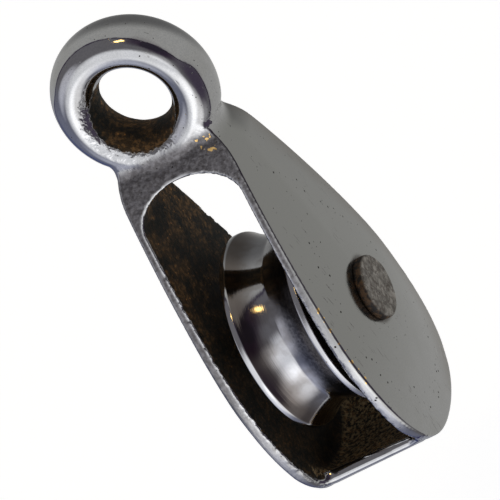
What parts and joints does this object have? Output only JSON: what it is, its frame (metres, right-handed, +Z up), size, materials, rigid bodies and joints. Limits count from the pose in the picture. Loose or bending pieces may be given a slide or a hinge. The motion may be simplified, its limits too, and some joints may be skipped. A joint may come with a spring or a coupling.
{
  "type": "single sheave block",
  "caption": "Fixed-eye single sheave block: cast frame with a round eye and domed pear-shaped cheeks, open front and back, and a grooved sheave turning on a riveted pin.",
  "frame": {"origin": "centre of the eye's hole", "axes": "+Z up out of the eye, away from the sheave; +X along the axle pin, towards the pin's factory head; the eye's hole runs along Y"},
  "size_m": [0.0321, 0.0394, 0.1008],
  "materials": {
    "plated_casting": "polished plating outside, rough dark casting skin inside",
    "turned_steel": "turned and polished, worn",
    "dull_steel": "dull, oxidised, hammered edge"
  },
  "bodies": {
    "frame": {"frame_casting": "plated_casting", "axle_pin": "dull_steel"},
    "sheave": {"sheave": "turned_steel"}
  },
  "joints": [
    {"name": "sheave_spin", "type": "hinge", "parent": "frame", "child": "sheave", "pos_m": [0, 0, -0.0545], "axis": [1, 0, 0], "continuous": true}
  ]
}
